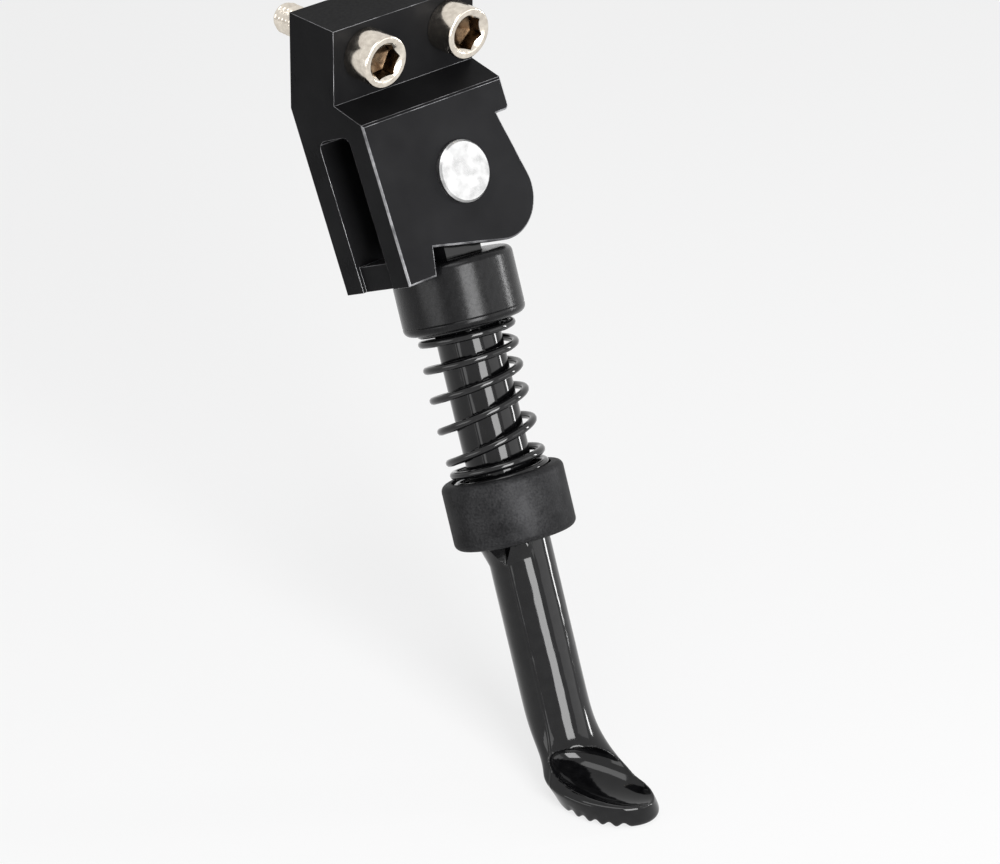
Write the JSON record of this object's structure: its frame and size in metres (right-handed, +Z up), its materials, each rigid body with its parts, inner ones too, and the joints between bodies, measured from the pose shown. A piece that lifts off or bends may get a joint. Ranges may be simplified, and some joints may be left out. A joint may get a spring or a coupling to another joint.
{
  "type": "sprung side stand with clevis bracket",
  "caption": "Folding side stand: a forged leg with a spoon foot swings in a leaning clevis bracket, held by a sprung cup that rides on the rounded cheeks.",
  "frame": {"origin": "on the bracket's mounting face, midway between the axes of its two screws", "axes": "+X along the bracket towards the side that the leg folds to, +Y out of the mounting face into the vehicle's frame, +Z up; the stand leans outwards, towards -Y"},
  "size_m": [0.0451, 0.1294, 0.1821],
  "materials": {
    "black_anodised": "satin black anodised, bright worn chamfers",
    "polished_steel": "polished rivet head",
    "nickel_plated": "bright nickel plating, warm",
    "black_enamel": "gloss black stoved enamel",
    "blackened_steel": "blackened steel, burnished by rubbing",
    "sintered_iron": "matt, finely grained",
    "spring_steel": "gloss black wire"
  },
  "bodies": {
    "bracket": {"bracket": "black_anodised", "pivot_pin": "polished_steel", "screw_left": "nickel_plated", "screw_right": "nickel_plated"},
    "leg": {"stand_leg": "black_enamel", "spring_collar": "sintered_iron", "return_spring": "spring_steel"},
    "cup": {"spring_cup": "blackened_steel"}
  },
  "joints": [
    {"name": "leg_fold", "type": "hinge", "parent": "bracket", "child": "leg", "pos_m": [0.002, -0.0229, -0.0351], "axis": [0, -0.9018, 0.4321], "range_deg": [0, 94]},
    {"name": "cup_slide", "type": "slide", "parent": "leg", "child": "cup", "axis": [-0.0698, -0.4311, -0.8996], "range_m": [0, 0.0088], "deforming": ["return_spring"]}
  ],
  "couplings": [
    {"joint": "cup_slide", "follows": "leg_fold", "m_per_rad": 0.00532}
  ]
}
